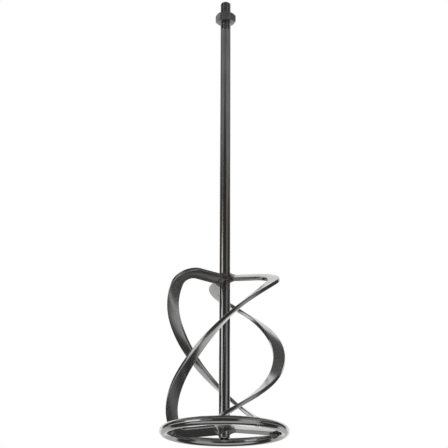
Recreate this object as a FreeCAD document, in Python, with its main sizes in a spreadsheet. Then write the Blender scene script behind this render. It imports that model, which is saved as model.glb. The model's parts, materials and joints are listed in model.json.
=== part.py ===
import FreeCAD, Part
import Sketcher
import math
import os

# A mortar mixing paddle for a drill or mixing machine: a round steel shaft with an M14 thread
# and a lock nut on top, three flat-bar blades that wind down round it, and a round-bar ring
# that guards the blades' lower bends. Millimetres. The origin is the centre of the shaft's
# bottom face and +Z runs up the shaft. The blades wind clockwise, seen from above, as they
# go down. They are bent and set by hand, so their top arms differ a little.

doc = FreeCAD.newDocument("mixing_paddle")

# ---------------------------------------------------------------------------
# Driving sizes: name, value, what it is
# ---------------------------------------------------------------------------
DRIVING_SIZES = (
    ("overall_length", 598.5, "from the shaft's bottom face to the top of its thread"),
    ("shaft_diameter", 14.0, "round bar"),
    ("shaft_end_chamfer", 1.0, "both legs of the chamfer at the shaft's bottom end"),
    ("thread_diameter", 13.9, "M14 cut into the bar, its crests a little below the bar's surface"),
    ("thread_length", 45.0, "threaded stretch at the shaft's top"),
    ("thread_runout", 1.5, "height of the cone where the thread fades into the bar"),
    ("thread_chamfer", 1.6, "both legs of the chamfer at the thread's tip"),
    ("thread_root_width", 1.2, "the one thread root that is cut, just above the nut"),
    ("thread_root_depth", 0.6, "depth of that root"),
    ("nut_across_flats", 24.0, "lock nut"),
    ("nut_height", 11.0, "lock nut"),
    ("nut_face_margin", 0.4, "how far the round face left by the chamfers stays inside the flats"),
    ("nut_mouth_depth", 0.64, "45 degree countersink of the nut's bore, both faces"),
    ("nut_thread_clearance", 0.06, "radial gap between the nut's bore and the thread"),
    ("nut_below_tip", 18.5, "free thread left above the nut"),
    ("nut_turn", -6.0, "angle of the nut's first corner about the shaft"),
    ("ring_diameter", 160.0, "outside"),
    ("ring_bar_diameter", 11.0, "round bar that the ring is rolled from"),
    ("ring_height", 9.0, "ring's mid plane above the shaft's bottom face"),
    ("ring_joint_turn", -61.0, "where the ring's two ends were butted and welded"),
    ("ring_joint_width", 5.0, "length along the bar of the dressed butt weld"),
    ("ring_joint_crown", 0.35, "how far the dressed weld stands proud of the bar"),
    ("blade_width", 15.0, "flat bar"),
    ("blade_thickness", 4.8, "flat bar"),
    ("blade_settling_run", 40.0, "length over which a top bend that reaches too far comes back in"),
    ("weld_root_gap", 0.5, "gap that a weld fills between a blade and what it is welded to"),
    ("weld_toe", 0.3, "thickness of a hub weld where it ends on a blade's face"),
    ("hub_weld_leg", 4.5, "reach of the hub welds along a blade's arm"),
    ("hub_weld_throat", 2.4, "how far they stand off the arm's faces at the shaft"),
    ("ring_weld_length", 15.0, "bead between a blade's lower bend and the ring"),
    ("ring_weld_size", 9.0, "diameter of that bead"),
)
# the same for each blade, in the order of blades 1, 2 and 3: lengths and degrees
BLADE_SIZES = (
    ("turn", (222.5, 108.9, -7.3), "angle of the top arm about the shaft"),
    ("top_height", (201.9, 202.6, 204.9), "top arm's mid line above the shaft's bottom face"),
    ("top_slope", (33.2, 29.5, 32.5), "tilt of the top arm's flat from level"),
    ("top_bend", (20.9, 32.9, 26.2), "mid-line radius of the bend from top arm to helix"),
    ("top_reach", (0.0, 0.4, 2.0), "how far that bend reaches out past the helix"),
    ("edge_over_ring", (3.55, 6.5, 3.3), "how far the outer edge reaches over the ring's bar"),
    ("helix_slope", (45.4, 45.2, 46.8), "slope of the helix"),
    ("slope_run", (72.8, 78.9, 92.3), "height over which the slope eases from arm to helix"),
    ("bottom_bend", (11.0, 11.8, 15.2), "mid-line radius of the bend from helix to bottom arm"),
    ("bottom_height", (13.3, 12.7, 12.1), "bottom arm's mid line above the shaft's bottom face"),
    ("bottom_slope", (31.1, 31.2, 36.9), "tilt of the bottom arm's flat from level"),
)
BLADES = len(BLADE_SIZES[0][1])

sheet = doc.addObject("Spreadsheet::Sheet", "sizes")
rows = list(DRIVING_SIZES)
for word, values, meaning in BLADE_SIZES:
    for number, value in enumerate(values, start=1):
        rows.append(("blade_%d_%s" % (number, word), value, meaning))
for row, (name, value, meaning) in enumerate(rows, start=1):
    sheet.set("A%d" % row, name)
    sheet.set("B%d" % row, str(value))
    sheet.set("C%d" % row, meaning)
    sheet.setAlias("B%d" % row, name)
doc.recompute()

UP = FreeCAD.Vector(0, 0, 1)


def size(name):
    return float(sheet.get(name))


def bind(obj, **expressions):
    """Tie an object's properties to the sheet; a double underscore stands for a dot."""
    for path, expression in expressions.items():
        obj.setExpression(path.replace("__", "."), expression)


# ---------------------------------------------------------------------------
# Shaft: turned from bar, as a half profile revolved about the Z axis
# ---------------------------------------------------------------------------
def make_shaft():
    body = doc.addObject("PartDesign::Body", "shaft")
    body.Label = "shaft"
    sketch = body.newObject("Sketcher::SketchObject", "shaft_profile")
    plane = next(f for f in body.Origin.OriginFeatures if f.Role == "XZ_Plane")
    sketch.AttachmentSupport = [(plane, "")]
    sketch.MapMode = "FlatFace"

    bar = "sizes.shaft_diameter / 2"
    thread = "sizes.thread_diameter / 2"
    top = "sizes.overall_length"
    thread_foot = "sizes.overall_length - sizes.thread_length"
    nut_top = "sizes.overall_length - sizes.nut_below_tip"
    # each corner: distance out from the axis and height, None where it lies on the axis
    # or on the bottom face
    corners = (
        (None, None),
        (bar + " - sizes.shaft_end_chamfer", None),
        (bar, "sizes.shaft_end_chamfer"),
        (bar, thread_foot),
        (thread, thread_foot + " + sizes.thread_runout"),
        (thread, nut_top),
        (thread + " - sizes.thread_root_depth", nut_top + " + sizes.thread_root_width / 2"),
        (thread, nut_top + " + sizes.thread_root_width"),
        (thread, top + " - sizes.thread_chamfer"),
        (thread + " - sizes.thread_chamfer", top),
        (None, top),
    )
    rough = [FreeCAD.Vector(*[worked_out(sketch, words) for words in pair]) for pair in corners]
    for start, end in zip(rough, rough[1:] + rough[:1]):
        sketch.addGeometry(Part.LineSegment(start, end))
    for i, (across, along) in enumerate(corners):
        before = (i - 1) % len(corners)
        sketch.addConstraint(Sketcher.Constraint("Coincident", before, 2, i, 1))
        place_corner(sketch, i, "DistanceX", across, -2, rough[i].x)
        place_corner(sketch, i, "DistanceY", along, -1, rough[i].y)

    turned = body.newObject("PartDesign::Revolution", "shaft_turned")
    turned.Profile = sketch
    turned.ReferenceAxis = (sketch, ["V_Axis"])
    turned.Angle = 360.0
    return body


def worked_out(sketch, expression):
    """Where a corner starts out, before its constraints are solved."""
    if expression is None:
        return 0.0
    return float(sketch.evalExpression(expression))


def place_corner(sketch, line, kind, expression, axis, rough):
    """Hold the start of a line at a distance from the origin, or on an axis."""
    if expression is None:
        sketch.addConstraint(Sketcher.Constraint("PointOnObject", line, 1, axis))
        return
    number = sketch.addConstraint(Sketcher.Constraint(kind, -1, 1, line, 1, rough))
    sketch.setExpression("Constraints[%d]" % number, expression)


# ---------------------------------------------------------------------------
# Lock nut: a hexagon with its corners chamfered at both faces, bored and countersunk
# ---------------------------------------------------------------------------
def make_lock_nut():
    blank = doc.addObject("Part::Prism", "nut_blank")
    blank.Polygon = 6
    bind(blank, Circumradius="sizes.nut_across_flats / 2 / cos(30)", Height="sizes.nut_height")

    face = "(sizes.nut_across_flats / 2 - sizes.nut_face_margin)"
    spread = face + " + sizes.nut_height / tan(30)"
    lower_chamfer = doc.addObject("Part::Cone", "nut_lower_chamfer")
    bind(lower_chamfer, Radius1=face, Radius2=spread, Height="sizes.nut_height")
    upper_chamfer = doc.addObject("Part::Cone", "nut_upper_chamfer")
    bind(upper_chamfer, Radius1=spread, Radius2=face, Height="sizes.nut_height")
    outside = doc.addObject("Part::MultiCommon", "nut_outside")
    outside.Shapes = [blank, lower_chamfer, upper_chamfer]

    bore_radius = "(sizes.thread_diameter / 2 + sizes.nut_thread_clearance)"
    mouth_radius = bore_radius + " + sizes.nut_mouth_depth"
    bore = doc.addObject("Part::Cylinder", "nut_bore")
    bind(bore, Radius=bore_radius, Height="sizes.nut_height")
    lower_mouth = doc.addObject("Part::Cone", "nut_lower_mouth")
    bind(lower_mouth, Radius1=mouth_radius, Radius2=bore_radius, Height="sizes.nut_mouth_depth")
    upper_mouth = doc.addObject("Part::Cone", "nut_upper_mouth")
    bind(upper_mouth, Radius1=bore_radius, Radius2=mouth_radius, Height="sizes.nut_mouth_depth")
    bind(upper_mouth, Placement__Base__z="sizes.nut_height - sizes.nut_mouth_depth")
    hollow = doc.addObject("Part::MultiFuse", "nut_hollow")
    hollow.Shapes = [bore, lower_mouth, upper_mouth]

    nut = doc.addObject("Part::Cut", "lock_nut")
    nut.Label = "lock_nut"
    nut.Base = outside
    nut.Tool = hollow
    turned = FreeCAD.Rotation(UP, size("nut_turn"))
    nut.Placement = FreeCAD.Placement(FreeCAD.Vector(), turned)
    bind(nut, Placement__Base__z="sizes.overall_length - sizes.nut_below_tip - sizes.nut_height")
    return nut


# ---------------------------------------------------------------------------
# Ring: round bar rolled to a circle, and the dressed butt weld that closes it
# ---------------------------------------------------------------------------
RING_MID_RADIUS = "(sizes.ring_diameter - sizes.ring_bar_diameter) / 2"


def make_torus(name, bar_radius):
    torus = doc.addObject("Part::Torus", name)
    bind(torus, Radius1=RING_MID_RADIUS, Radius2=bar_radius)
    bind(torus, Placement__Base__z="sizes.ring_height")
    return torus


def make_ring():
    ring = make_torus("ring", "sizes.ring_bar_diameter / 2")
    ring.Label = "ring"
    return ring


def make_ring_joint_weld():
    crown = make_torus("ring_joint_crown", "sizes.ring_bar_diameter / 2 + sizes.ring_joint_crown")
    bind(crown, Angle3="sizes.ring_joint_width / (%s) * 180 / pi" % RING_MID_RADIUS)
    turned = FreeCAD.Rotation(UP, size("ring_joint_turn"))
    crown.Placement = FreeCAD.Placement(crown.Placement.Base, turned)
    core = make_torus("ring_joint_core", "sizes.ring_bar_diameter / 2")
    weld = doc.addObject("Part::Cut", "ring_joint_weld")
    weld.Label = "ring_joint_weld"
    weld.Base = crown
    weld.Tool = core
    return weld


# ---------------------------------------------------------------------------
# Blades: flat bar. The mid line leaves the shaft along a straight arm, bends on edge into a
# helix of constant radius, and bends on edge again into a straight arm back to the shaft.
# The flat is tilted to the slope that the mid line has on the helix.
# ---------------------------------------------------------------------------
STATION_STEP = 0.5
STATIONS_PER_SECTION = 8
SECTIONS_PER_FACE = 10
STEEPEST_LEAN = 0.5


def smooth(share):
    share = min(max(share, 0.0), 1.0)
    return share * share * (3.0 - 2.0 * share)


def blade_size(number, word):
    return size("blade_%d_%s" % (number, word))


def blade_slope(number, height):
    """Tilt of a blade's flat at a height: eased from the arms' slopes to the helix's."""
    run = blade_size(number, "slope_run")
    slope = blade_size(number, "top_slope")
    fallen = blade_size(number, "top_height") - height
    slope += (blade_size(number, "helix_slope") - slope) * smooth(fallen / run)
    lowest = blade_size(number, "bottom_slope")
    rise = height - blade_size(number, "bottom_height")
    return math.radians(lowest + (slope - lowest) * smooth(rise / run))


def blade_stations(number):
    """Walk down a blade's mid line: its points, width directions and face normals.

    The swing is the mid line's own direction: 0 on the top arm, 90 degrees on the helix and
    180 degrees on the bottom arm.
    """
    top_arm, top_bend, helix, bottom_bend, bottom_arm = range(5)
    top_radius = blade_size(number, "top_bend")
    bottom_radius = blade_size(number, "bottom_bend")
    ring_inside = size("ring_diameter") / 2 - size("ring_bar_diameter")
    outer_edge = ring_inside + blade_size(number, "edge_over_ring")
    helix_radius = outer_edge - size("blade_width") / 2
    top_bend_start = helix_radius + blade_size(number, "top_reach") - top_radius
    lower_slope = math.radians(blade_size(number, "bottom_slope"))
    bottom_bend_start = blade_size(number, "bottom_height") + bottom_radius * math.sin(lower_slope)
    end_radius = size("shaft_diameter") / 2 + size("weld_root_gap")

    radius, height, swing = end_radius, blade_size(number, "top_height"), 0.0
    turn = math.radians(blade_size(number, "turn"))
    step = STATION_STEP
    stretch = top_arm
    stations = []
    while step > 0:
        slope = blade_slope(number, height)
        outward = FreeCAD.Vector(math.cos(turn), math.sin(turn), 0)
        level = FreeCAD.Vector(math.sin(turn), -math.cos(turn), 0)
        onward = level * math.cos(slope) - UP * math.sin(slope)
        across = onward * math.cos(swing) - outward * math.sin(swing)
        stations.append((outward * radius + UP * height, across, outward.cross(onward)))
        # on the helix the mid line leans in or out until it has the helix's radius
        lean = (radius - helix_radius) / size("blade_settling_run")
        upright = math.pi / 2 + math.asin(min(max(lean, -STEEPEST_LEAN), STEEPEST_LEAN))
        if stretch == top_arm and radius >= top_bend_start:
            stretch = top_bend
        elif stretch == top_bend:
            swing = min(swing + step / top_radius, upright)
            stretch = helix if swing == upright else top_bend
        elif stretch == helix:
            swing = upright
            stretch = bottom_bend if height <= bottom_bend_start else helix
        elif stretch == bottom_bend:
            swing = min(swing + step / bottom_radius, math.pi)
            stretch = bottom_arm if swing == math.pi else bottom_bend
        elif stretch == bottom_arm:
            step = min(step, radius - end_radius)
        radius += math.cos(swing) * step
        turn -= math.cos(slope) * math.sin(swing) * step / radius
        height -= math.sin(slope) * math.sin(swing) * step
    return stations


def section_corners(station, half_width, half_thickness):
    """The four corners of a flat bar's section, in order round it."""
    point, across, normal = station
    signs = ((1, 1), (1, -1), (-1, -1), (-1, 1))
    return [point + across * (a * half_width) + normal * (n * half_thickness) for a, n in signs]


def bar_shape(stations):
    """Ruled faces between four smooth corner curves, with flat ends."""
    half_width = size("blade_width") / 2
    half_thickness = size("blade_thickness") / 2
    kept = stations[:-STATIONS_PER_SECTION:STATIONS_PER_SECTION] + stations[-1:]
    sections = [section_corners(station, half_width, half_thickness) for station in kept]
    # one set of parameters for all four curves keeps the faces' rulings in the sections
    lengths = [0.0]
    for before, after in zip(kept, kept[1:]):
        lengths.append(lengths[-1] + before[0].distanceToPoint(after[0]))
    rails = []
    for corner in range(4):
        curve = Part.BSplineCurve()
        curve.interpolate(Points=[s[corner] for s in sections], Parameters=lengths)
        rails.append(curve)
    # short faces along each curve, because a very long spline face measures badly
    ends = lengths[:-1:SECTIONS_PER_FACE] + lengths[-1:]
    same_way = 1
    faces = []
    for start, end in zip(ends, ends[1:]):
        edges = [rail.toShape(start, end) for rail in rails]
        for edge, following in zip(edges, edges[1:] + edges[:1]):
            faces.append(Part.makeRuledSurface(edge, following, same_way))
    for end in (sections[0], sections[-1]):
        faces.append(Part.Face(Part.makePolygon(end + end[:1])))
    shell = Part.makeShell(faces)
    shell.sewShape()
    bar = Part.makeSolid(shell)
    if bar.Volume < 0:
        bar.reverse()
    return bar


def ring_bar(extra):
    """The ring's torus with its bar thickened all round by extra."""
    bar_radius = size("ring_bar_diameter") / 2
    mid_radius = size("ring_diameter") / 2 - bar_radius
    return Part.makeTorus(mid_radius, bar_radius + extra, UP * size("ring_height"))


def make_blade(number):
    blade = doc.addObject("Part::Feature", "blade_%d" % number)
    blade.Label = "blade_%d" % number
    # where an outer edge would run into the ring it is ground back to the root gap
    blade.Shape = bar_shape(blade_stations(number)).cut(ring_bar(size("weld_root_gap")))
    blade.Placement = FreeCAD.Placement()
    return blade


# ---------------------------------------------------------------------------
# Welds: solids of filler metal that fill the root gaps and stand out as beads
# ---------------------------------------------------------------------------
def make_hub_weld(name, station, blade, laid_before):
    """Fillet all round an arm's end, tapering from inside the shaft's wall onto the arm.

    Where it runs into a weld that was laid before it, it stops at that weld's face.
    """
    point, across, normal = station
    outward = FreeCAD.Vector(point.x, point.y, 0).normalize()
    shaft_radius = size("shaft_diameter") / 2
    arm_end = shaft_radius + size("weld_root_gap")
    half_width = size("blade_width") / 2 + size("weld_toe")
    half_thickness = size("blade_thickness") / 2
    throat = half_thickness + size("hub_weld_throat")
    sections = (
        (0.0, shaft_radius / 2, throat),
        (arm_end, half_width, throat),
        (arm_end + size("hub_weld_leg"), half_width, half_thickness + size("weld_toe")),
    )
    wires = []
    for reach, half_across, half_through in sections:
        place = (outward * reach + UP * point.z, across, normal)
        corners = section_corners(place, half_across, half_through)
        wires.append(Part.makePolygon(corners + corners[:1]))
    block = Part.makeLoft(wires, True, True)
    shaft = Part.makeCylinder(shaft_radius, size("overall_length"))
    weld = doc.addObject("Part::Feature", name)
    weld.Label = name
    weld.Shape = block.cut([shaft, blade.Shape] + [other.Shape for other in laid_before])
    weld.Placement = FreeCAD.Placement()
    return weld


def make_ring_weld(number, blade):
    """Bead laid along the ring where a blade's lower bend comes closest to it."""
    distance, pairs, _ = blade.Shape.distToShape(ring_bar(0.0))
    middle = (pairs[0][0] + pairs[0][1]) * 0.5
    radius = math.hypot(middle.x, middle.y)
    spread = math.degrees(size("ring_weld_length") / radius)
    turn = math.degrees(math.atan2(middle.y, middle.x)) - spread / 2
    bead = Part.makeTorus(
        radius, size("ring_weld_size") / 2, FreeCAD.Vector(), UP, 0.0, 360.0, spread
    )
    bead.Placement = FreeCAD.Placement(UP * middle.z, FreeCAD.Rotation(UP, turn))
    weld = doc.addObject("Part::Feature", "ring_weld_%d" % number)
    weld.Label = "ring_weld_%d" % number
    weld.Shape = bead.cut(ring_bar(0.0)).cut(blade.Shape)
    weld.Placement = FreeCAD.Placement()
    return weld


# ---------------------------------------------------------------------------
# Assembly, checks and files
# ---------------------------------------------------------------------------
pieces = [make_shaft(), make_lock_nut(), make_ring(), make_ring_joint_weld()]
top_welds, bottom_welds = [], []
for number in range(1, BLADES + 1):
    blade = make_blade(number)
    stations = blade_stations(number)
    top_welds.append(make_hub_weld("top_weld_%d" % number, stations[0], blade, top_welds))
    bottom_welds.append(make_hub_weld("bottom_weld_%d" % number, stations[-1], blade, bottom_welds))
    pieces += [blade, top_welds[-1], bottom_welds[-1], make_ring_weld(number, blade)]

doc.recompute()
for obj in doc.Objects:
    if "Invalid" in obj.State or "Error" in obj.State:
        raise RuntimeError("%s did not recompute: %s" % (obj.Label, obj.State))
for piece in pieces:
    shape = piece.Shape
    if shape.isNull() or not shape.isValid() or not shape.Solids:
        raise RuntimeError("%s has no valid solid" % piece.Label)

os.makedirs("parts", exist_ok=True)
for piece in pieces:
    piece.Shape.exportStep("parts/%s.step" % piece.Label)
    print("%s: %d solid(s), %.1f mm3" % (piece.Label, len(piece.Shape.Solids), piece.Shape.Volume))
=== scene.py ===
import json
import math
from collections import namedtuple

import bmesh
import bpy
from mathutils import Matrix, Vector, noise

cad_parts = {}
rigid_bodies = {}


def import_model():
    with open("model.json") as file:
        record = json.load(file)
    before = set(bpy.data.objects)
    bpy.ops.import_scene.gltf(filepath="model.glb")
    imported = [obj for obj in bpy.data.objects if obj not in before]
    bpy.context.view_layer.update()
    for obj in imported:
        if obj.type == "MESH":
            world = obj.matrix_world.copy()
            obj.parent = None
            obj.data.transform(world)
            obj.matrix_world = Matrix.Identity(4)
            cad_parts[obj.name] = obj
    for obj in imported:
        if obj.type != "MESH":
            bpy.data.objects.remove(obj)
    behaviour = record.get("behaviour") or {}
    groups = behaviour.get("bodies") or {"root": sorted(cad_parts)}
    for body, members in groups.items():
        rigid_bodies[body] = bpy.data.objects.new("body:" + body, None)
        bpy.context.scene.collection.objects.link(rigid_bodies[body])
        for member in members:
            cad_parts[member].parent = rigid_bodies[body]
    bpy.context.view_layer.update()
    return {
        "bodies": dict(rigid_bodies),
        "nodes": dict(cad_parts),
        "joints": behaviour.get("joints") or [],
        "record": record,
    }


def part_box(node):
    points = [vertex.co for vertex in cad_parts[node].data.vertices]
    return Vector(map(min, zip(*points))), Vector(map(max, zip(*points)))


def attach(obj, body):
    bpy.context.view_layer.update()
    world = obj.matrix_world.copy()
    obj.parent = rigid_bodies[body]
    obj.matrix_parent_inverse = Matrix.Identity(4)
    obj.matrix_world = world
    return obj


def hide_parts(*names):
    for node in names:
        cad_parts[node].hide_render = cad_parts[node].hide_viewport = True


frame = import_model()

SCENE = bpy.context.scene


# ---------------------------------------------------------------------------
# Camera: a long lens, low down in front of the paddle and tilted up at it, so
# that the near side of the ring shows above the far side.
# ---------------------------------------------------------------------------
STAND_BACK = 1.60566
STAND_BELOW = 0.28560
TILT_UP = 0.337632
ROLL = 0.0031728
FOCAL_LENGTH_MM = 105.945
SENSOR_MM = 36.0
SIDE_SHIFT = -0.00216

lens = bpy.data.cameras.new("studio_camera")
lens.sensor_width = SENSOR_MM
lens.lens = FOCAL_LENGTH_MM
lens.shift_x = SIDE_SHIFT
lens.clip_start = 0.05
camera = bpy.data.objects.new("studio_camera", lens)
SCENE.collection.objects.link(camera)
aim = Matrix.Rotation(math.pi / 2 + TILT_UP, 4, "X") @ Matrix.Rotation(ROLL, 4, "Z")
camera.matrix_world = Matrix.Translation((0.0, -STAND_BACK, -STAND_BELOW)) @ aim
SCENE.camera = camera


# ---------------------------------------------------------------------------
# Studio: white all round for the eye. What the steel mirrors is a dark room with
# a white backdrop behind, a strip light on the left, a dimmer window on the right,
# grey upper walls and a lit floor. Each is a soft-edged panel in the world.
# ---------------------------------------------------------------------------
def make_softbox_group():
    """A panel far away: how much of it lies in the direction Toward."""
    group = bpy.data.node_groups.new("softbox", "ShaderNodeTree")
    for name, kind in (
        ("Toward", "NodeSocketVector"),
        ("Middle", "NodeSocketVector"),
        ("Right", "NodeSocketVector"),
        ("Up", "NodeSocketVector"),
        ("Half Width", "NodeSocketFloat"),
        ("Half Height", "NodeSocketFloat"),
        ("Soft Edge", "NodeSocketFloat"),
    ):
        group.interface.new_socket(name, in_out="INPUT", socket_type=kind)
    group.interface.new_socket("Cover", in_out="OUTPUT", socket_type="NodeSocketFloat")
    nodes, link = group.nodes, group.links.new
    given = nodes.new("NodeGroupInput")
    result = nodes.new("NodeGroupOutput")

    def along(axis):
        dot = nodes.new("ShaderNodeVectorMath")
        dot.operation = "DOT_PRODUCT"
        link(given.outputs["Toward"], dot.inputs[0])
        link(given.outputs[axis], dot.inputs[1])
        return dot.outputs["Value"]

    def reckon(operation, first, second):
        node = nodes.new("ShaderNodeMath")
        node.operation = operation
        for socket, value in zip(node.inputs, (first, second)):
            if isinstance(value, float):
                socket.default_value = value
            else:
                link(value, socket)
        return node.outputs[0]

    ahead = reckon("MAXIMUM", along("Middle"), 0.001)
    shares = []
    for axis, half in (("Right", "Half Width"), ("Up", "Half Height")):
        off_middle = reckon("ABSOLUTE", reckon("DIVIDE", along(axis), ahead), 0.0)
        fade = nodes.new("ShaderNodeMapRange")
        fade.interpolation_type = "SMOOTHSTEP"
        link(off_middle, fade.inputs["Value"])
        link(given.outputs[half], fade.inputs["From Min"])
        link(reckon("ADD", given.outputs[half], given.outputs["Soft Edge"]), fade.inputs["From Max"])
        fade.inputs["To Min"].default_value = 1.0
        fade.inputs["To Max"].default_value = 0.0
        shares.append(fade.outputs["Result"])
    link(reckon("MULTIPLY", shares[0], shares[1]), result.inputs["Cover"])
    return group


# name, turn to the right of straight in front, height, half width, half height (all degrees),
# soft edge as a share of the distance, brightness
# A later panel covers the ones before it.
PANELS = (
    ("ceiling", 180.0, 80.0, 26.0, 26.0, 0.4, 0.10),
    ("front_floor", 0.0, -62.0, 52.0, 20.0, 0.2, 0.50),
    ("right_pane", 50.0, 16.0, 15.0, 13.0, 0.15, 0.18),
    ("right_window", 44.0, -6.0, 13.0, 20.0, 0.17, 0.50),
    ("front_wall", 0.0, 45.0, 30.0, 10.0, 0.02, 0.24),
    ("right_wall", 72.0, 41.5, 30.0, 12.5, 0.03, 0.28),
    ("left_wall", -72.0, 43.0, 27.0, 12.5, 0.02, 0.28),
    ("right_skirting", 95.0, 0.0, 24.0, 4.0, 0.08, 0.33),
    ("left_skirting", -68.0, 0.0, 46.0, 3.0, 0.05, 1.0),
    ("left_strip", -58.0, 8.0, 13.0, 14.5, 0.05, 1.15),
    ("backdrop", 180.0, 12.0, 40.0, 46.0, 0.15, 1.0),
    ("backdrop_foot", 180.0, -26.0, 60.0, 14.0, 0.15, 0.60),
)
ROOM_BRIGHTNESS = 0.045

world = bpy.data.worlds.new("studio")
SCENE.world = world
world.use_nodes = True
tree = world.node_tree
tree.nodes.clear()
toward = tree.nodes.new("ShaderNodeTexCoord").outputs["Generated"]
softbox = make_softbox_group()
mirrored = tree.nodes.new("ShaderNodeValue").outputs[0]
mirrored.default_value = ROOM_BRIGHTNESS
for name, turn, height, half_width, half_height, edge, brightness in PANELS:
    turn, height = math.radians(turn), math.radians(height)
    level = Vector((math.sin(turn), -math.cos(turn), 0.0))
    middle = level * math.cos(height) + Vector((0, 0, 1)) * math.sin(height)
    rightward = Vector((-level.y, level.x, 0.0))
    panel = tree.nodes.new("ShaderNodeGroup")
    panel.node_tree = softbox
    panel.label = name
    tree.links.new(toward, panel.inputs["Toward"])
    panel.inputs["Middle"].default_value = middle
    panel.inputs["Right"].default_value = rightward
    panel.inputs["Up"].default_value = rightward.cross(middle)
    panel.inputs["Half Width"].default_value = math.tan(math.radians(half_width))
    panel.inputs["Half Height"].default_value = math.tan(math.radians(half_height))
    panel.inputs["Soft Edge"].default_value = edge
    mixed = tree.nodes.new("ShaderNodeMix")
    tree.links.new(panel.outputs["Cover"], mixed.inputs[0])
    tree.links.new(mirrored, mixed.inputs[2])
    mixed.inputs[3].default_value = brightness
    mirrored = mixed.outputs[0]
seen = tree.nodes.new("ShaderNodeMix")
tree.links.new(tree.nodes.new("ShaderNodeLightPath").outputs["Is Camera Ray"], seen.inputs[0])
tree.links.new(mirrored, seen.inputs[2])
seen.inputs[3].default_value = 1.0
sky = tree.nodes.new("ShaderNodeBackground")
tree.links.new(seen.outputs[0], sky.inputs["Color"])
shown = tree.nodes.new("ShaderNodeOutputWorld")
tree.links.new(sky.outputs[0], shown.inputs["Surface"])
SCENE.view_settings.view_transform = "Standard"

# A big soft lamp overhead lights the floor. The steel doesn't mirror it.
lamp_data = bpy.data.lights.new("overhead_softbox", "AREA")
lamp_data.shape = "SQUARE"
lamp_data.size = 1.6
lamp_data.energy = 60.0
lamp = bpy.data.objects.new("overhead_softbox", lamp_data)
lamp.location = (-0.4, -0.5, 2.0)
lamp.rotation_euler = Vector((-0.4, -0.5, 2.0)).to_track_quat("Z", "Y").to_euler()
lamp.visible_glossy = False
SCENE.collection.objects.link(lamp)


# ---------------------------------------------------------------------------
# Floor: a pale sheet that the paddle stands on. It is clear from below, where
# the camera looks up through it, and the steel doesn't mirror it.
# ---------------------------------------------------------------------------
FLOOR_HALF_SIDE = 6.0
FLOOR_DROP = 0.001

floor_mesh = bpy.data.meshes.new("floor")
bm = bmesh.new()
bmesh.ops.create_grid(bm, x_segments=1, y_segments=1, size=FLOOR_HALF_SIDE)
bmesh.ops.translate(bm, verts=bm.verts, vec=(0, 0, -FLOOR_DROP))
bm.to_mesh(floor_mesh)
bm.free()
floor = bpy.data.objects.new("floor", floor_mesh)
SCENE.collection.objects.link(floor)
floor_paint = bpy.data.materials.new("pale_floor")
floor_paint.use_nodes = True
tree = floor_paint.node_tree
matt = tree.nodes["Principled BSDF"]
matt.inputs["Base Color"].default_value = (0.86, 0.86, 0.855, 1.0)
matt.inputs["Roughness"].default_value = 0.9
clear = tree.nodes.new("ShaderNodeBsdfTransparent")
either = tree.nodes.new("ShaderNodeMixShader")
tree.links.new(tree.nodes.new("ShaderNodeNewGeometry").outputs["Backfacing"], either.inputs["Fac"])
tree.links.new(matt.outputs[0], either.inputs[1])
tree.links.new(clear.outputs[0], either.inputs[2])
tree.links.new(either.outputs[0], tree.nodes["Material Output"].inputs["Surface"])
floor_mesh.materials.append(floor_paint)
floor.visible_glossy = False
floor.visible_shadow = False


# ---------------------------------------------------------------------------
# Shaft: 14 mm drawn steel bar, chamfered at the foot, with an M14 x 2 thread cut into its
# top 45 mm. The thread is wound as a screw and the bar is drawn down from its foot.
# ---------------------------------------------------------------------------
SHAFT_RADIUS = 0.0070
SHAFT_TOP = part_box("shaft")[1].z
FOOT_CHAMFER = 0.0010
THREAD_START = SHAFT_TOP - 0.045
THREAD_PITCH = 0.002
THREAD_CREST = 0.0069
THREAD_ROOT = 0.0057
RUNOUT = 0.0015
ROOT_FADE = 0.005
TIP_CHAMFER = 0.0018
STEPS_PER_TURN = 64
SHARP = math.radians(32)
TINY = 1e-6


def finish_mesh(bm, name, body):
    """Make an object of a closed bmesh: normals out, smooth, with its sharp edges kept."""
    bmesh.ops.recalc_face_normals(bm, faces=bm.faces)
    for face in bm.faces:
        face.smooth = True
    for edge in bm.edges:
        edge.smooth = edge.calc_face_angle(0.0) < SHARP
    mesh = bpy.data.meshes.new(name)
    bm.to_mesh(mesh)
    bm.free()
    piece = bpy.data.objects.new(name, mesh)
    SCENE.collection.objects.link(piece)
    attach(piece, body)
    return piece


def draw_out(bm, edges, height, scale=1.0):
    """Extrude a level loop of edges to a height, scaled about the Z axis."""
    made = bmesh.ops.extrude_edge_only(bm, edges=edges)["geom"]
    verts = [part for part in made if isinstance(part, bmesh.types.BMVert)]
    for vert in verts:
        vert.co = Vector((vert.co.x * scale, vert.co.y * scale, height))
    return [part for part in made if isinstance(part, bmesh.types.BMEdge)]


def level_loop(bm, height):
    return [
        edge
        for edge in bm.edges
        if edge.is_boundary and all(abs(vert.co.z - height) < TINY for vert in edge.verts)
    ]


bm = bmesh.new()
wind_from = THREAD_START - 2 * THREAD_PITCH
turns = math.ceil((SHAFT_TOP - wind_from) / THREAD_PITCH) + 1
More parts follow.
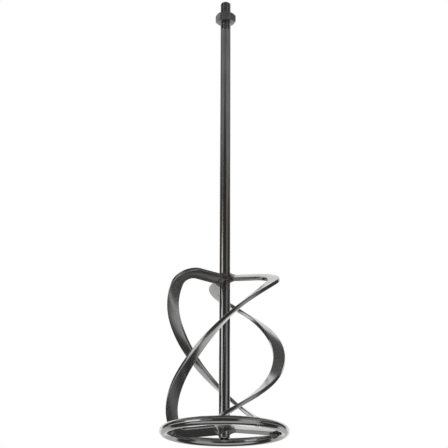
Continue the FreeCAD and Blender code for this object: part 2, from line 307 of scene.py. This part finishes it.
# one pitch of the thread's outline: radius, and height as a share of the pitch
outline = (
    (THREAD_ROOT, 0.0),
    (THREAD_ROOT, 0.25),
    (THREAD_CREST, 0.5625),
    (THREAD_CREST, 0.6875),
    (THREAD_ROOT, 1.0),
)
verts = [bm.verts.new((radius, 0.0, wind_from + share * THREAD_PITCH)) for radius, share in outline]
edges = [bm.edges.new(pair) for pair in zip(verts, verts[1:])]
bmesh.ops.spin(
    bm,
    geom=verts + edges,
    cent=(0, 0, 0),
    axis=(0, 0, 1),
    dvec=(0, 0, THREAD_PITCH / STEPS_PER_TURN),
    angle=math.tau * turns,
    steps=STEPS_PER_TURN * turns,
)
bmesh.ops.remove_doubles(bm, verts=bm.verts, dist=TINY)
for height, side in ((SHAFT_TOP, 1.0), (THREAD_START, -1.0)):
    bmesh.ops.bisect_plane(
        bm,
        geom=bm.verts[:] + bm.edges[:] + bm.faces[:],
        plane_co=(0, 0, height),
        plane_no=(0, 0, side),
        clear_outer=True,
    )
for vert in bm.verts:
    risen = vert.co.z - THREAD_START
    fade = max(0.0, 1 - risen / RUNOUT)
    roof = min(
        THREAD_CREST + (SHAFT_RADIUS - THREAD_CREST) * fade,
        THREAD_CREST - TIP_CHAMFER + SHAFT_TOP - vert.co.z,
    )
    bed = max(THREAD_ROOT, SHAFT_RADIUS - risen * (SHAFT_RADIUS - THREAD_ROOT) / ROOT_FADE)
    radius = math.hypot(vert.co.x, vert.co.y)
    vert.co.xy *= min(max(radius, bed), roof) / radius
bmesh.ops.edgeloop_fill(bm, edges=level_loop(bm, SHAFT_TOP))
rim = draw_out(bm, level_loop(bm, THREAD_START), FOOT_CHAMFER)
rim = draw_out(bm, rim, 0.0, 1.0 - FOOT_CHAMFER / SHAFT_RADIUS)
bmesh.ops.edgeloop_fill(bm, edges=rim)
shaft = finish_mesh(bm, "threaded_shaft", "paddle")
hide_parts("shaft")


# Finishes. Every piece is bare steel under a thin film of oil, so each material is one
# metal with its own tone, grain and marks, put together from the groups made here.
def new_group(name, inputs, outputs):
    """An empty node group with its sockets, and a way to add linked nodes to it."""
    group = bpy.data.node_groups.new(name, "ShaderNodeTree")
    for way, sockets in (("INPUT", inputs), ("OUTPUT", outputs)):
        for socket, kind in sockets:
            group.interface.new_socket(socket, in_out=way, socket_type="NodeSocket" + kind)
    return group, group.nodes.new("NodeGroupInput").outputs, group.nodes.new("NodeGroupOutput").inputs


def add_node(tree, kind, given=(), operation=None):
    """A node with its inputs set by name or place: a number, a colour or another's output."""
    node = tree.nodes.new("ShaderNode" + kind)
    if operation:
        node.operation = operation
    for key, value in given:
        if isinstance(value, bpy.types.NodeSocket):
            tree.links.new(value, node.inputs[key])
        else:
            node.inputs[key].default_value = value
    return node


def stretched_noise(tree, place, scale, detail, from_low=0.3, to_high=0.7):
    """Noise whose grain size differs along the three axes, spread out to 0 to 1."""
    scaled = add_node(tree, "VectorMath", ((0, place), (1, scale)), "MULTIPLY")
    grain = add_node(
        tree, "TexNoise", (("Vector", scaled.outputs[0]), ("Scale", 1.0), ("Detail", detail))
    )
    spread = add_node(
        tree,
        "MapRange",
        (("Value", grain.outputs["Fac"]), ("From Min", from_low), ("From Max", to_high)),
    )
    return spread.outputs["Result"]


def mix_colour(tree, share, first, second):
    mixed = add_node(tree, "Mix")
    mixed.data_type = "RGBA"
    for key, value in ((0, share), (6, first), (7, second)):
        if isinstance(value, bpy.types.NodeSocket):
            tree.links.new(value, mixed.inputs[key])
        else:
            mixed.inputs[key].default_value = value
    return mixed.outputs[2]


CLOUD_SHARE = 0.55
DULL_ROUGHENS = 0.14


def make_drawn_finish():
    """Drawing marks along the bar and cloudy patches: X of Place runs along the bar."""
    group, given, result = new_group(
        "drawn_finish",
        (
            ("Place", "Vector"),
            ("Bright", "Color"),
            ("Dull", "Color"),
            ("Polish", "Float"),
            ("Streak Strength", "Float"),
        ),
        (("Colour", "Color"), ("Roughness", "Float"), ("Height", "Float")),
    )
    streaks = stretched_noise(group, given["Place"], (9.0, 700.0, 700.0), 4.0)
    hairlines = stretched_noise(group, given["Place"], (45.0, 1800.0, 1800.0), 2.0)
    clouds = stretched_noise(group, given["Place"], (38.0, 90.0, 90.0), 5.0)
    marks = add_node(group, "Math", ((0, streaks), (1, hairlines)), "ADD").outputs[0]
    marks = add_node(group, "Math", ((0, marks), (1, 0.5)), "MULTIPLY").outputs[0]
    weighed = add_node(group, "Math", ((0, marks), (1, given["Streak Strength"])), "MULTIPLY")
    dulled = add_node(
        group, "Math", ((0, clouds), (1, CLOUD_SHARE), (2, weighed.outputs[0])), "MULTIPLY_ADD"
    )
    dulled.use_clamp = True
    group.links.new(
        mix_colour(group, dulled.outputs[0], given["Bright"], given["Dull"]), result["Colour"]
    )
    rough = add_node(
        group,
        "Math",
        ((0, dulled.outputs[0]), (1, DULL_ROUGHENS), (2, given["Polish"])),
        "MULTIPLY_ADD",
    )
    group.links.new(rough.outputs[0], result["Roughness"])
    group.links.new(marks, result["Height"])
    return group


def make_heat_tint():
    """Temper colours round a weld: Nearness is 1 at the weld and 0 where the steel stayed cool."""
    group, given, result = new_group(
        "heat_tint", (("Colour", "Color"), ("Nearness", "Float")), (("Colour", "Color"),)
    )
    ramp = add_node(group, "ValToRGB", (("Fac", given["Nearness"]),))
    stops = ramp.color_ramp.elements
    stops[0].position, stops[0].color = 0.0, (1.0, 1.0, 1.0, 1.0)
    stops[1].position, stops[1].color = 1.0, (0.52, 0.45, 0.44, 1.0)
    for position, colour in ((0.35, (0.95, 0.91, 0.85, 1.0)), (0.7, (0.78, 0.65, 0.61, 1.0))):
        stops.new(position).color = colour
    tinted = mix_colour(group, 1.0, given["Colour"], ramp.outputs["Color"])
    tinted.node.blend_type = "MULTIPLY"
    group.links.new(tinted, result["Colour"])
    return group


DRAWN_FINISH = make_drawn_finish()
HEAT_TINT = make_heat_tint()


def place_group(tree, group, given):
    node = tree.nodes.new("ShaderNodeGroup")
    node.node_tree = group
    for key, value in given:
        if isinstance(value, bpy.types.NodeSocket):
            tree.links.new(value, node.inputs[key])
        else:
            node.inputs[key].default_value = value
    return node


def new_steel(name):
    """A metal material, its node tree and its shader."""
    steel = bpy.data.materials.new(name)
    steel.use_nodes = True
    metal = steel.node_tree.nodes["Principled BSDF"]
    metal.inputs["Metallic"].default_value = 1.0
    return steel, steel.node_tree, metal


def bump(tree, metal, height, depth):
    node = add_node(tree, "Bump", (("Height", height), ("Strength", 0.5), ("Distance", depth)))
    tree.links.new(node.outputs["Normal"], metal.inputs["Normal"])


def hub_nearness(tree, place, height, reach):
    """1 at a height on the shaft where a hub is welded, fading to 0 a reach away."""
    level = add_node(tree, "SeparateXYZ", ((0, place),)).outputs["Z"]
    away = add_node(tree, "Math", ((0, level), (1, height)), "SUBTRACT").outputs[0]
    away = add_node(tree, "Math", ((0, away),), "ABSOLUTE").outputs[0]
    near = add_node(
        tree,
        "MapRange",
        (("Value", away), ("From Max", reach), ("To Min", 1.0), ("To Max", 0.0)),
    )
    return near.outputs["Result"]


TOP_HUB_HEIGHT = sum(corner.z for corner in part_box("top_weld_1")) / 2
HUB_HEAT_REACH = 0.016
BROWN_MIDDLE = 0.285
BROWN_REACH = 0.10

shaft_steel, tree, metal = new_steel("drawn_shaft_steel")
place = add_node(tree, "TexCoord").outputs["Object"]
lengthwise = add_node(tree, "Mapping", (("Vector", place), ("Rotation", (0.0, math.pi / 2, 0.0))))
# the stretch above the top hub has browned with age; the rest has stayed grey
browned = hub_nearness(tree, place, BROWN_MIDDLE, BROWN_REACH)
bright = mix_colour(tree, browned, (0.52, 0.52, 0.52, 1), (0.52, 0.48, 0.42, 1))
drawn = place_group(
    tree,
    DRAWN_FINISH,
    (
        ("Place", lengthwise.outputs[0]),
        ("Bright", bright),
        ("Dull", (0.40, 0.39, 0.38, 1)),
        ("Polish", 0.09),
        ("Streak Strength", 0.35),
    ),
)
tinted = place_group(
    tree,
    HEAT_TINT,
    (
        ("Colour", drawn.outputs["Colour"]),
        ("Nearness", hub_nearness(tree, place, TOP_HUB_HEIGHT, HUB_HEAT_REACH)),
    ),
)
tree.links.new(tinted.outputs[0], metal.inputs["Base Color"])
tree.links.new(drawn.outputs["Roughness"], metal.inputs["Roughness"])
bump(tree, metal, drawn.outputs["Height"], 0.000006)
shaft.data.materials.append(shaft_steel)


# ---------------------------------------------------------------------------
# Lock nut: a hot-forged hexagon nut, 24 mm across flats, run on to the thread. Both faces
# are chamfered at 30 degrees, which leaves arcs on the flats, and its bore is countersunk.
# ---------------------------------------------------------------------------
NUT_LOW, NUT_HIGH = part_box("lock_nut")
NUT_HALF_HEIGHT = (NUT_HIGH.z - NUT_LOW.z) / 2
NUT_MIDDLE = (NUT_HIGH.z + NUT_LOW.z) / 2
NUT_APOTHEM = 0.0120
NUT_BORE = 0.00701
NUT_MOUTH = 0.00765
NUT_FACE = 0.0116
NUT_TURN = math.radians(-6.0)
NUT_CORNER_ROUND = 0.0004
NUT_STEPS = 96

bm = bmesh.new()
half_outline = (
    (NUT_BORE, NUT_HALF_HEIGHT - (NUT_MOUTH - NUT_BORE)),
    (NUT_MOUTH, NUT_HALF_HEIGHT),
    (NUT_FACE, NUT_HALF_HEIGHT),
    (NUT_APOTHEM, NUT_HALF_HEIGHT),
)
outline = half_outline + tuple((radius, -height) for radius, height in reversed(half_outline))
verts = [bm.verts.new((radius, 0.0, height)) for radius, height in outline]
edges = [bm.edges.new(pair) for pair in zip(verts, verts[1:] + verts[:1])]
bmesh.ops.spin(
    bm,
    geom=verts + edges,
    cent=(0, 0, 0),
    axis=(0, 0, 1),
    angle=math.tau,
    steps=NUT_STEPS,
    use_merge=True,
)
sixth = math.tau / 6
for vert in bm.verts:
    radius = math.hypot(vert.co.x, vert.co.y)
    if radius > NUT_APOTHEM - TINY:
        off_flat = math.atan2(vert.co.y, vert.co.x) % sixth - sixth / 2
        outer = NUT_APOTHEM / math.cos(off_flat)
        drop = (outer - NUT_FACE) * math.tan(math.radians(30))
        side = math.copysign(1.0, vert.co.z)
        vert.co = Vector((vert.co.x, vert.co.y, 0)) * (outer / radius)
        vert.co.z = side * (NUT_HALF_HEIGHT - drop)
corners = [
    edge
    for edge in bm.edges
    if abs(edge.verts[0].co.z - edge.verts[1].co.z) > NUT_HALF_HEIGHT
    and math.hypot(edge.verts[0].co.x, edge.verts[0].co.y) > NUT_APOTHEM / math.cos(sixth / 2) - TINY
]
bmesh.ops.bevel(
    bm, geom=corners, offset=NUT_CORNER_ROUND, affect="EDGES", segments=3, profile=0.5, material=-1
)
bmesh.ops.rotate(bm, verts=bm.verts, cent=(0, 0, 0), matrix=Matrix.Rotation(NUT_TURN, 3, "Z"))
bmesh.ops.translate(bm, verts=bm.verts, vec=(0, 0, NUT_MIDDLE))
nut = finish_mesh(bm, "hexagon_lock_nut", "lock_nut")
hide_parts("lock_nut")

nut_steel, tree, metal = new_steel("forged_nut_steel")
place = add_node(tree, "TexCoord").outputs["Object"]
pits = stretched_noise(tree, place, (1400.0, 1400.0, 1400.0), 5.0, 0.35, 0.65)
clouds = stretched_noise(tree, place, (260.0, 260.0, 260.0), 4.0)
radial = add_node(tree, "VectorMath", ((0, place), (1, (1.0, 1.0, 0.0))), "MULTIPLY")
from_axis = add_node(tree, "VectorMath", ((0, radial.outputs[0]),), "LENGTH").outputs["Value"]
worn = add_node(
    tree,
    "MapRange",
    (("Value", from_axis), ("From Min", NUT_APOTHEM * 1.09), ("From Max", NUT_APOTHEM * 1.15)),
)
skin = mix_colour(tree, clouds, (0.54, 0.535, 0.53, 1), (0.40, 0.39, 0.39, 1))
tree.links.new(
    mix_colour(tree, worn.outputs[0], skin, (0.60, 0.59, 0.58, 1)), metal.inputs["Base Color"]
)
rough = add_node(tree, "Math", ((0, pits), (1, 0.16), (2, 0.30)), "MULTIPLY_ADD")
tree.links.new(rough.outputs[0], metal.inputs["Roughness"])
bump(tree, metal, pits, 0.00005)
nut.data.materials.append(nut_steel)


# ---------------------------------------------------------------------------
# Ring: 11 mm round bar rolled to 160 mm outside, which runs round the blades' lower bends.
# It is the best polished piece, because it rubs on the bucket. Its ends are butt-welded.
# ---------------------------------------------------------------------------
RING_LOW, RING_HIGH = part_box("ring")
RING_BAR_RADIUS = (RING_HIGH.z - RING_LOW.z) / 2
RING_MIDDLE = (RING_HIGH.z + RING_LOW.z) / 2
RING_MID_RADIUS = -RING_LOW.x - RING_BAR_RADIUS
RING_BAR_SIDES = 40
RING_STEPS = 288


def unroll(piece, along, around, lengths):
    """Lay a piece out flat in a UV map, in metres: along its bar and around it."""
    mesh = piece.data
    layer = mesh.uv_layers.new(name="unrolled")
    for polygon in mesh.polygons:
        first = None
        for loop in polygon.loop_indices:
            place = mesh.vertices[mesh.loops[loop].vertex_index].co
            laid = [along(place), around(place)]
            first = first or laid
            # a face across the seam goes on past it instead of back to the start
            for axis in (0, 1):
                laid[axis] -= round((laid[axis] - first[axis]) / lengths[axis]) * lengths[axis]
            layer.data[loop].uv = laid


def ring_arc(place):
    return math.atan2(place.y, place.x) * RING_MID_RADIUS


def ring_girth(place):
    outward = math.hypot(place.x, place.y) - RING_MID_RADIUS
    return math.atan2(place.z - RING_MIDDLE, outward) * RING_BAR_RADIUS


bm = bmesh.new()
bmesh.ops.create_circle(bm, segments=RING_BAR_SIDES, radius=RING_BAR_RADIUS)
bmesh.ops.rotate(bm, verts=bm.verts, cent=(0, 0, 0), matrix=Matrix.Rotation(math.pi / 2, 3, "X"))
bmesh.ops.translate(bm, verts=bm.verts, vec=(RING_MID_RADIUS, 0, RING_MIDDLE))
bmesh.ops.spin(
    bm,
    geom=bm.verts[:] + bm.edges[:],
    cent=(0, 0, 0),
    axis=(0, 0, 1),
    angle=math.tau,
    steps=RING_STEPS,
    use_merge=True,
)
ring = finish_mesh(bm, "guard_ring", "paddle")
unroll(ring, ring_arc, ring_girth, (math.tau * RING_MID_RADIUS, math.tau * RING_BAR_RADIUS))
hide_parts("ring")

ring_steel, tree, metal = new_steel("polished_ring_steel")
drawn = place_group(
    tree,
    DRAWN_FINISH,
    (
        ("Place", add_node(tree, "UVMap").outputs[0]),
        ("Bright", (0.60, 0.60, 0.60, 1)),
        ("Dull", (0.42, 0.41, 0.40, 1)),
        ("Polish", 0.08),
        ("Streak Strength", 0.25),
    ),
)
tree.links.new(drawn.outputs["Colour"], metal.inputs["Base Color"])
tree.links.new(drawn.outputs["Roughness"], metal.inputs["Roughness"])
bump(tree, metal, drawn.outputs["Height"], 0.00001)
ring.data.materials.append(ring_steel)


# ---------------------------------------------------------------------------
# Blades: three lengths of 15 x 4.8 mm drawn flat bar. Each leaves the shaft as a level arm,
# is bent on edge into a helix, and is bent on edge again, tightly, over the ring and back to
# the shaft. They are bent by hand, so the top bends differ.
# ---------------------------------------------------------------------------
BLADE_WIDTH = 0.0150
BLADE_THICKNESS = 0.0048
BLADE_EDGE_ROUND = 0.0009
ARM_END_RADIUS = SHAFT_RADIUS + 0.0005
BLADE_STEP = 0.0005
STEPS_PER_FRAME = 3
SETTLING_RUN = 0.040
STEEPEST_LEAN = 0.5
UP = Vector((0, 0, 1))

# Each blade's own sizes. Its bends are mid-line radii, the reach is how far the top bend goes
# out past the helix, and the slope eases from arm to helix over the slope run.
BladeSizes = namedtuple(
    "BladeSizes",
    "turn top_height top_slope top_bend top_reach helix_radius helix_slope slope_run"
    " bottom_bend bottom_height bottom_slope",
)
BLADES = (
    BladeSizes(222.5, 0.2019, 33.2, 0.0209, 0.0, 0.06505, 45.4, 0.0728, 0.0110, 0.0133, 31.1),
    BladeSizes(108.9, 0.2026, 29.5, 0.0329, 0.0004, 0.06800, 45.2, 0.0789, 0.0118, 0.0127, 31.2),
    BladeSizes(-7.3, 0.2049, 32.5, 0.0262, 0.0020, 0.06480, 46.8, 0.0923, 0.0152, 0.0121, 36.9),
)


def smooth(share):
    share = min(max(share, 0.0), 1.0)
    return share * share * (3.0 - 2.0 * share)


def blade_slope(sizes, height):
    """Tilt of a blade's flat, eased from the top arm's to the helix's to the bottom arm's."""
    eased = smooth((sizes.top_height - height) / sizes.slope_run)
    slope = sizes.top_slope + (sizes.helix_slope - sizes.top_slope) * eased
    eased = smooth((height - sizes.bottom_height) / sizes.slope_run)
    return math.radians(sizes.bottom_slope + (slope - sizes.bottom_slope) * eased)


def bar_frame(point, across, normal):
    """A matrix that carries a flat section, drawn in X and Y, to its place on a blade."""
    frame = Matrix((across, normal, across.cross(normal))).transposed().to_4x4()
    frame.translation = point
    return frame


def blade_frames(sizes):
    """Walk down a blade's mid line from the shaft and back to it."""
    top_bend_start = sizes.helix_radius + sizes.top_reach - sizes.top_bend
    lowest_slope = math.radians(sizes.bottom_slope)
    bottom_bend_start = sizes.bottom_height + sizes.bottom_bend * math.sin(lowest_slope)
    radius, height, swing = ARM_END_RADIUS, sizes.top_height, 0.0
    turn = math.radians(sizes.turn)
    step = BLADE_STEP
    stretch = "top arm"
    frames = []
    while step > TINY:
        slope = blade_slope(sizes, height)
        outward = Vector((math.cos(turn), math.sin(turn), 0))
        level = Vector((math.sin(turn), -math.cos(turn), 0))
        onward = level * math.cos(slope) - UP * math.sin(slope)
        across = onward * math.cos(swing) - outward * math.sin(swing)
        frames.append(bar_frame(outward * radius + UP * height, across, outward.cross(onward)))
        # on the helix the bar leans in or out until it has the helix's radius
        lean = (radius - sizes.helix_radius) / SETTLING_RUN
        upright = math.pi / 2 + math.asin(min(max(lean, -STEEPEST_LEAN), STEEPEST_LEAN))
        if stretch == "top arm" and radius >= top_bend_start:
            stretch = "top bend"
        elif stretch == "top bend":
            swing = min(swing + step / sizes.top_bend, upright)
            stretch = "helix" if swing == upright else stretch
        elif stretch == "helix":
            swing = upright
            stretch = "bottom bend" if height <= bottom_bend_start else stretch
        elif stretch == "bottom bend":
            swing = min(swing + step / sizes.bottom_bend, math.pi)
            stretch = "bottom arm" if swing == math.pi else stretch
        elif stretch == "bottom arm":
            step = min(step, radius - ARM_END_RADIUS)
        radius += math.cos(swing) * step
        turn -= math.cos(slope) * math.sin(swing) * step / radius
        height -= math.sin(slope) * math.sin(swing) * step
    return frames[:-1:STEPS_PER_FRAME] + frames[-1:]


def draw_blade(name, frames):
    """Draw a round-cornered flat section along the frames, unrolled into a UV map."""
    bm = bmesh.new()
    along = bm.verts.layers.float.new("along")
    around = bm.verts.layers.float.new("around")
    half_width, half_thickness = BLADE_WIDTH / 2, BLADE_THICKNESS / 2
    bmesh.ops.create_grid(bm, x_segments=1, y_segments=1, size=1.0)
    bmesh.ops.scale(bm, verts=bm.verts, vec=(half_width, half_thickness, 1))
    bmesh.ops.bevel(
        bm,
        geom=bm.verts[:],
        offset=BLADE_EDGE_ROUND,
        affect="VERTICES",
        segments=4,
        profile=0.5,
        material=-1,
    )
    for vert in bm.verts:
        vert[around] = math.atan2(vert.co.y * half_width / half_thickness, vert.co.x) / math.tau
    bmesh.ops.transform(bm, verts=bm.verts, matrix=frames[0])
    rim = bm.edges[:]
    travelled = 0.0
    for before, after in zip(frames, frames[1:]):
        travelled += (after.translation - before.translation).length
        made = bmesh.ops.extrude_edge_only(bm, edges=rim)["geom"]
        rim = [part for part in made if isinstance(part, bmesh.types.BMEdge)]
        verts = [part for part in made if isinstance(part, bmesh.types.BMVert)]
        bmesh.ops.transform(bm, verts=verts, matrix=after @ before.inverted())
        for vert in verts:
            vert[along] = travelled
    bmesh.ops.edgeloop_fill(bm, edges=rim)
    girth = 2 * (BLADE_WIDTH + BLADE_THICKNESS)
    layer = bm.loops.layers.uv.new("unrolled")
    for face in bm.faces:
        first = face.loops[0].vert[around]
        for loop in face.loops:
            share = loop.vert[around]
            share -= round(share - first)
            loop[layer].uv = (loop.vert[along], share * girth)
    return finish_mesh(bm, name, "paddle")


def edge_closeness(tree, laid):
    """1 on a blade's two narrow edges, 0 on its flats, from the UV map's around share."""
    girth = 2 * (BLADE_WIDTH + BLADE_THICKNESS)
    across = add_node(tree, "SeparateXYZ", ((0, laid),)).outputs["Y"]
    turned = add_node(tree, "Math", ((0, across), (1, 2 * math.tau / girth)), "MULTIPLY").outputs[0]
    wave = add_node(tree, "Math", ((0, turned),), "COSINE").outputs[0]
    close = add_node(tree, "MapRange", (("Value", wave), ("From Min", 0.35), ("From Max", 0.8)))
    return close.outputs["Result"]


ARM_HEAT_DEPTH = 0.05

blade_steel, tree, metal = new_steel("drawn_blade_steel")
laid = add_node(tree, "UVMap").outputs[0]
drawn = place_group(
    tree,
    DRAWN_FINISH,
    (
        ("Place", laid),
        ("Bright", (0.58, 0.58, 0.575, 1)),
        ("Dull", (0.46, 0.455, 0.45, 1)),
        ("Polish", 0.16),
        ("Streak Strength", 0.2),
    ),
)
worn_edge = mix_colour(
    tree, edge_closeness(tree, laid), drawn.outputs["Colour"], (0.48, 0.475, 0.47, 1)
)
place = add_node(tree, "TexCoord").outputs["Object"]
radial = add_node(tree, "VectorMath", ((0, place), (1, (1.0, 1.0, 0.0))), "MULTIPLY")
from_axis = add_node(tree, "VectorMath", ((0, radial.outputs[0]),), "LENGTH").outputs["Value"]
by_shaft = add_node(
    tree,
    "MapRange",
    (("Value", from_axis), ("From Min", 0.006), ("From Max", 0.040), ("To Min", 0.5), ("To Max", 0.0)),
)
at_top = hub_nearness(tree, place, TOP_HUB_HEIGHT, ARM_HEAT_DEPTH)
near = add_node(tree, "Math", ((0, by_shaft.outputs[0]), (1, at_top)), "MULTIPLY")
tinted = place_group(tree, HEAT_TINT, (("Colour", worn_edge), ("Nearness", near.outputs[0])))
tree.links.new(tinted.outputs[0], metal.inputs["Base Color"])
tree.links.new(drawn.outputs["Roughness"], metal.inputs["Roughness"])
bump(tree, metal, drawn.outputs["Height"], 0.000006)

blade_paths = []
for number, sizes in enumerate(BLADES, start=1):
    blade_paths.append(blade_frames(sizes))
    blade = draw_blade("flat_bar_blade_%d" % number, blade_paths[-1])
    blade.data.materials.append(blade_steel)
    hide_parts("blade_%d" % number)


# ---------------------------------------------------------------------------
# Hub welds: a fillet all round the end of every arm, top and bottom, laid by hand, so it
# ripples and spreads up the shaft and out along the arm.
# ---------------------------------------------------------------------------
def wrap_grid(steps, sides, place):
    """Bend a grid so that both its ways close on themselves: place takes shares 0 to 1."""
    bm = bmesh.new()
    bmesh.ops.create_grid(bm, x_segments=steps, y_segments=sides, size=0.5)
    for vert in bm.verts:
        vert.co = place(vert.co.x + 0.5, vert.co.y + 0.5)
    bmesh.ops.remove_doubles(bm, verts=bm.verts, dist=TINY * 20)
    bmesh.ops.dissolve_degenerate(bm, edges=bm.edges, dist=TINY)
    return bm


WELD_ALONG_ARM = 0.0052
WELD_UP_SHAFT = 0.0030
WELD_ROUND_SHAFT = 0.0012
WELD_SINK = 0.0012
WELD_RIPPLES = 15
RIPPLE = 0.12
WANDER = 0.22
WANDER_SIZE = 0.8
CORNER_POWER = 0.35
TOE_SPREAD = 1.02
HOLLOW = 0.45
ELBOW_SHARE = 0.22
CORE_SHARE = 0.7
CORE_REACH = 0.8
ARC_SHARE = 0.62


def rough_by(place, size, seed):
    return noise.noise(place / size + Vector((seed, 0, 0)))


def hub_collar(frame, seed):
    """The skin of one fillet: round the arm by turn, and from arm to shaft and back by way."""
    across, normal = frame.col[0].xyz, frame.col[1].xyz
    point = frame.translation
    outward = Vector((point.x, point.y, 0)).normalized()
    sideways = UP.cross(outward)

    def place(turn, way):
        angle = turn * math.tau
        ripple = 1.0 + RIPPLE * math.sin(angle * WELD_RIPPLES + seed)
        corner = Vector((math.cos(angle), math.sin(angle)))
        ripple += WANDER * rough_by(Vector((corner.x, corner.y, seed)), WANDER_SIZE, seed)
        rim_x = math.copysign(abs(corner.x) ** CORNER_POWER, corner.x) * BLADE_WIDTH / 2
        rim_y = math.copysign(abs(corner.y) ** CORNER_POWER, corner.y) * BLADE_THICKNESS / 2
        on_arm = across * rim_x + normal * rim_y
        off_arm = across * corner.x + normal * corner.y
        climb = abs(off_arm.z)
        leg = (WELD_UP_SHAFT * climb + WELD_ROUND_SHAFT * (1 - climb)) * ripple
        arm_toe = on_arm * TOE_SPREAD + outward * (SHAFT_RADIUS + WELD_ALONG_ARM * ripple)
        foot = on_arm + off_arm * leg
        round_shaft = foot.dot(sideways) / SHAFT_RADIUS
        wall = outward * math.cos(round_shaft) + sideways * math.sin(round_shaft)
        shaft_toe = wall * SHAFT_RADIUS + UP * foot.z
        elbow = on_arm + off_arm * leg * HOLLOW
        elbow += outward * (SHAFT_RADIUS + WELD_ALONG_ARM * ELBOW_SHARE)
        if way <= ARC_SHARE:
            share = way / ARC_SHARE
            arc = arm_toe.lerp(elbow, share).lerp(elbow.lerp(shaft_toe, share), share)
            return arc + UP * point.z
        hidden = (
            shaft_toe,
            wall * (SHAFT_RADIUS - WELD_SINK) + UP * foot.z,
            on_arm * CORE_SHARE + outward * (SHAFT_RADIUS - WELD_SINK),
            on_arm * CORE_SHARE + outward * (SHAFT_RADIUS + WELD_ALONG_ARM * CORE_REACH),
            arm_toe,
        )
        share = (way - ARC_SHARE) / (1 - ARC_SHARE) * (len(hidden) - 1)
        leg_number = min(int(share), len(hidden) - 2)
        return hidden[leg_number].lerp(hidden[leg_number + 1], share - leg_number) + UP * point.z

    return place


def make_weld_metal():
    steel, tree, metal = new_steel("weld_bead_steel")
    place = add_node(tree, "TexCoord").outputs["Object"]
    scale_marks = stretched_noise(tree, place, (900.0, 900.0, 900.0), 4.0)
    patches = stretched_noise(tree, place, (240.0, 240.0, 240.0), 3.0)
    tone = mix_colour(tree, patches, (0.46, 0.45, 0.44, 1), (0.24, 0.225, 0.22, 1))
    tree.links.new(
        mix_colour(tree, scale_marks, tone, (0.15, 0.145, 0.14, 1)), metal.inputs["Base Color"]
    )
    rough = add_node(tree, "Math", ((0, scale_marks), (1, 0.22), (2, 0.20)), "MULTIPLY_ADD")
    tree.links.new(rough.outputs[0], metal.inputs["Roughness"])
    bump(tree, metal, scale_marks, 0.00012)
    return steel


weld_steel = make_weld_metal()
for number, path in enumerate(blade_paths, start=1):
    for name, frame_at in (("top_weld", path[0]), ("bottom_weld", path[-1])):
        collar = hub_collar(frame_at, number * 1.7 + len(name))
        bead = finish_mesh(wrap_grid(72, 16, collar), "%s_bead_%d" % (name, number), "paddle")
        bead.data.materials.append(weld_steel)
        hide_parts("%s_%d" % (name, number))


# ---------------------------------------------------------------------------
# Ring welds: a short, lumpy bead where each blade's lower bend comes down inside the ring,
# and the dressed butt weld that closes the ring itself.
# ---------------------------------------------------------------------------
RING_BEAD_HALF_LENGTH = 0.0085
RING_BEAD_RADIUS = 0.0042
LUMPS = 3.0
LUMP_HEIGHT = 0.13
BEAD_WANDER = 0.28
BEAD_WANDER_SIZE = 0.9


def ring_bead(middle, seed):
    turn = math.atan2(middle.y, middle.x)
    radius = math.hypot(middle.x, middle.y)

    def place(along, around):
        from_middle = along * 2 - 1
        swell = math.sqrt(max(0.0, 1 - from_middle**4))
        lump = 1 + LUMP_HEIGHT * math.cos(from_middle * math.pi * LUMPS + seed)
        angle = around * math.tau
        spread = Vector((math.cos(angle), math.sin(angle), from_middle * 2))
        wander = 1 + BEAD_WANDER * rough_by(spread, BEAD_WANDER_SIZE, seed)
        thick = RING_BEAD_RADIUS * swell * lump * wander
        here = turn + from_middle * RING_BEAD_HALF_LENGTH / radius
        out = Vector((math.cos(here), math.sin(here), 0))
        return out * (radius + thick * math.cos(angle)) + UP * (middle.z + thick * math.sin(angle))

    return place


for number in range(1, len(BLADES) + 1):
    low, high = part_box("ring_weld_%d" % number)
    bead = wrap_grid(48, 24, ring_bead((low + high) / 2, number * 2.3))
    bead = finish_mesh(bead, "ring_weld_bead_%d" % number, "paddle")
    bead.data.materials.append(weld_steel)
    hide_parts("ring_weld_%d" % number)

RING_JOINT_HALF_LENGTH = 0.0027
RING_JOINT_CROWN = 0.00032
PIT_SIZE = 0.45
PIT_SEED = 3.0
CROWN_PITTING = 0.5
EDGE_PITTING = 0.25
END_TAPER = 0.35


def ring_joint(turn):
    def place(along, around):
        from_middle = along * 2 - 1
        angle = around * math.tau
        spread = Vector((math.cos(angle) * 2, math.sin(angle) * 2, from_middle))
        pitted = rough_by(spread, PIT_SIZE, PIT_SEED)
        crown = RING_JOINT_CROWN * (1 + CROWN_PITTING * pitted)
        thick = (RING_BAR_RADIUS + crown) * (1 - END_TAPER * from_middle**8)
        half_length = RING_JOINT_HALF_LENGTH * (1 + EDGE_PITTING * pitted)
        here = turn + from_middle * half_length / RING_MID_RADIUS
        out = Vector((math.cos(here), math.sin(here), 0))
        rise = UP * (RING_MIDDLE + thick * math.sin(angle))
        return out * (RING_MID_RADIUS + thick * math.cos(angle)) + rise

    return place


dressed_steel, tree, metal = new_steel("dressed_weld_steel")
place = add_node(tree, "TexCoord").outputs["Object"]
spatter = stretched_noise(tree, place, (1100.0, 1100.0, 1100.0), 2.0, 0.52, 0.66)
tree.links.new(
    mix_colour(tree, spatter, (0.52, 0.51, 0.50, 1), (0.86, 0.85, 0.84, 1)), metal.inputs["Base Color"]
)
rough = add_node(tree, "Math", ((0, spatter), (1, 0.35), (2, 0.12)), "MULTIPLY_ADD")
tree.links.new(rough.outputs[0], metal.inputs["Roughness"])
bump(tree, metal, spatter, 0.00006)

low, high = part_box("ring_joint_weld")
joint_turn = math.atan2(low.y + high.y, low.x + high.x)
bm = wrap_grid(14, 40, ring_joint(joint_turn))
bmesh.ops.holes_fill(bm, edges=bm.edges, sides=0)
ring_joint_bead = finish_mesh(bm, "ring_joint_bead", "paddle")
ring_joint_bead.data.materials.append(dressed_steel)
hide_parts("ring_joint_weld")
